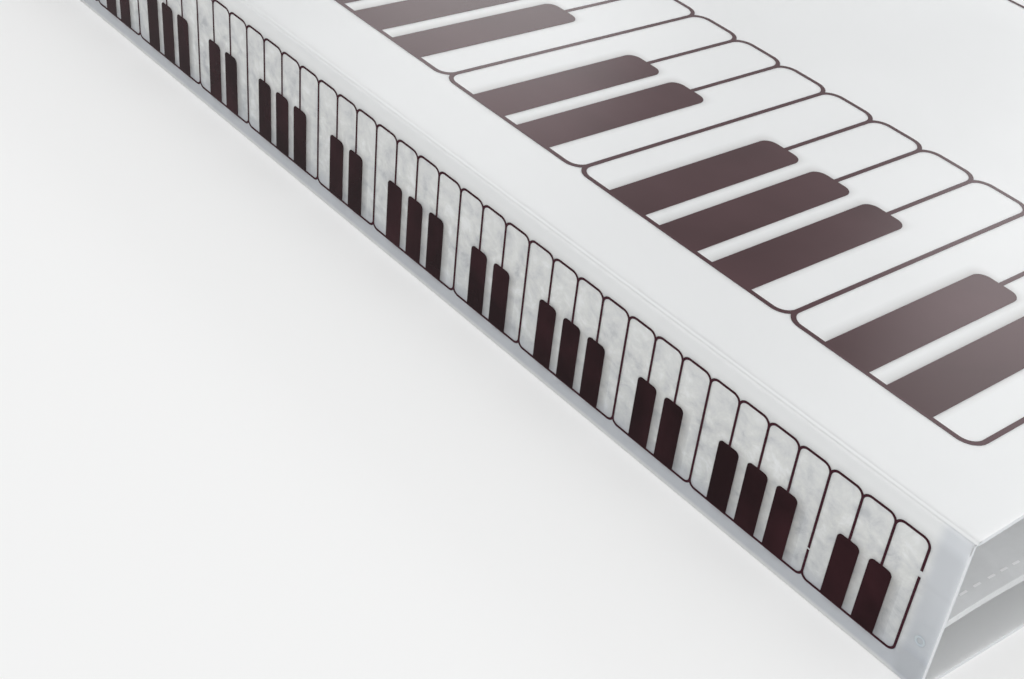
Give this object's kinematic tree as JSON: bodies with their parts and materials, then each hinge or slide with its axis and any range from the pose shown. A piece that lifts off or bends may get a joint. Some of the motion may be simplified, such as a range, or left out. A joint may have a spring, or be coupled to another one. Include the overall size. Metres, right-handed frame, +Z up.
{
  "type": "music folder",
  "caption": "Translucent display-book folder with creased spine, hinged covers, clear film pockets and piano keys printed on spine and front cover.",
  "frame": {"origin": "middle of the bounding box's underside, on the surface that the back cover lies on", "axes": "+X along the spine, +Y from the spine to the fore-edge, +Z up, out of the back cover"},
  "size_m": [0.31, 0.2466, 0.0574],
  "materials": {
    "sheet": "translucent white polypropylene sheet, finely embossed satin",
    "strip": "milky welded polypropylene strip",
    "film": "clear polypropylene film, slightly crumpled",
    "ink": "dark maroon screen-printed ink, satin"
  },
  "bodies": {
    "spine": {"spine_panel": "sheet", "spine_print": "ink", "pocket_strip": "strip", "pockets": "film"},
    "front_cover": {"front_cover": "sheet", "front_cover_print": "ink", "front_cover_rule": "ink"},
    "back_cover": {"back_cover": "sheet"}
  },
  "joints": [
    {"name": "front_cover_hinge", "type": "hinge", "parent": "spine", "child": "front_cover", "pos_m": [0, -0.12282, 0.03313], "axis": [1, 0, 0], "range_deg": [-12, 180]},
    {"name": "back_cover_hinge", "type": "hinge", "parent": "spine", "child": "back_cover", "pos_m": [0, -0.11618, 0.0005], "axis": [-1, 0, 0], "range_deg": [0, 165]}
  ]
}
